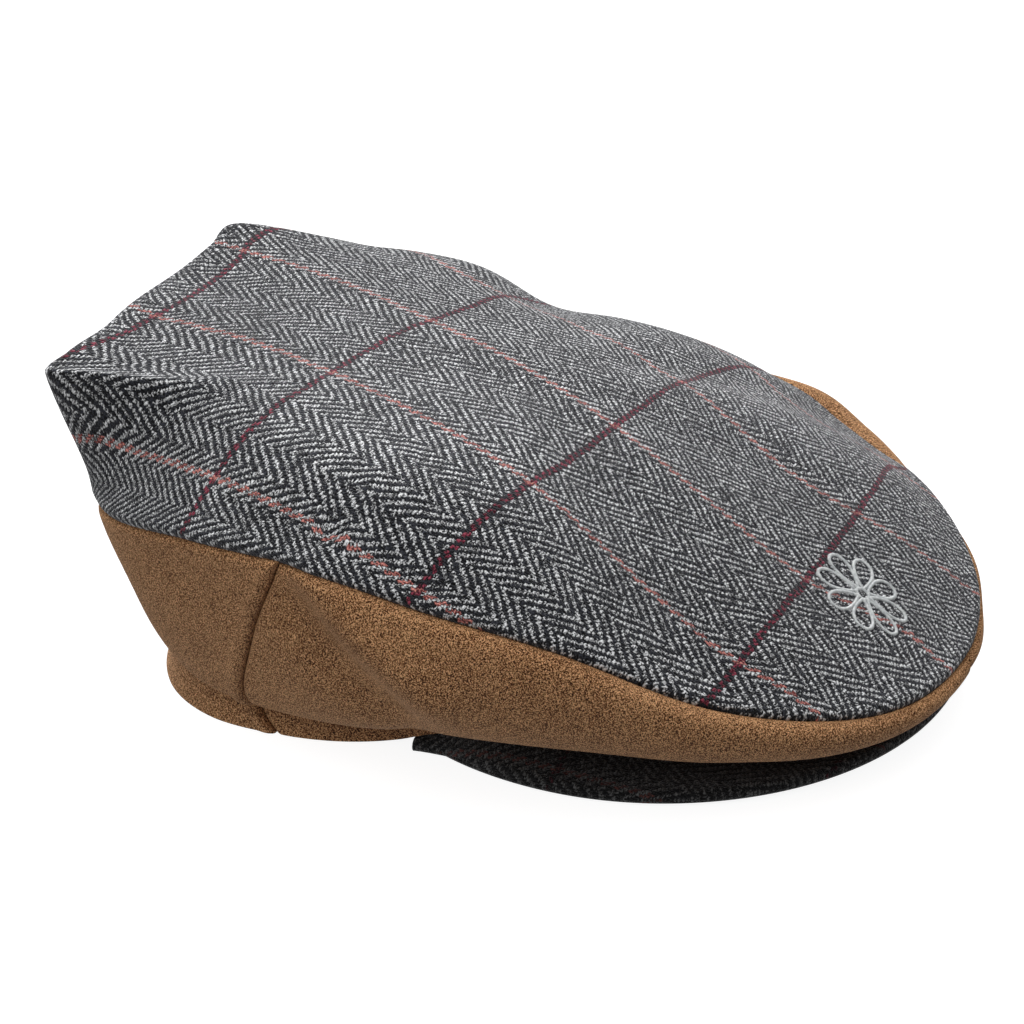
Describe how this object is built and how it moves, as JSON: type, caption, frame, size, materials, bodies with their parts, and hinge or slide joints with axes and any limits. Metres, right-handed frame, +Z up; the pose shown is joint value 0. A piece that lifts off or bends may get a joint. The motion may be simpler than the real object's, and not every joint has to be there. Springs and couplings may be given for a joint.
{
  "type": "flat cap",
  "caption": "Soft flat cap of herringbone tweed with plain wool sides and back and a short stiff peak, lying open on its rim.",
  "frame": {"origin": "middle of the cap's box in plan, on the surface it lies on", "axes": "+Z up, -Y towards the peak, -X towards the wearer's right"},
  "size_m": [0.2252, 0.2589, 0.1014],
  "materials": {
    "herringbone_tweed": "matte grey herringbone wool with a thin overcheck",
    "brushed_wool": "matte tan brushed wool"
  },
  "bodies": {
    "root": {"top_panel": "herringbone_tweed", "side_panel_right": "brushed_wool", "side_panel_left": "brushed_wool", "back_panel": "brushed_wool", "peak": "herringbone_tweed"}
  },
  "joints": []
}
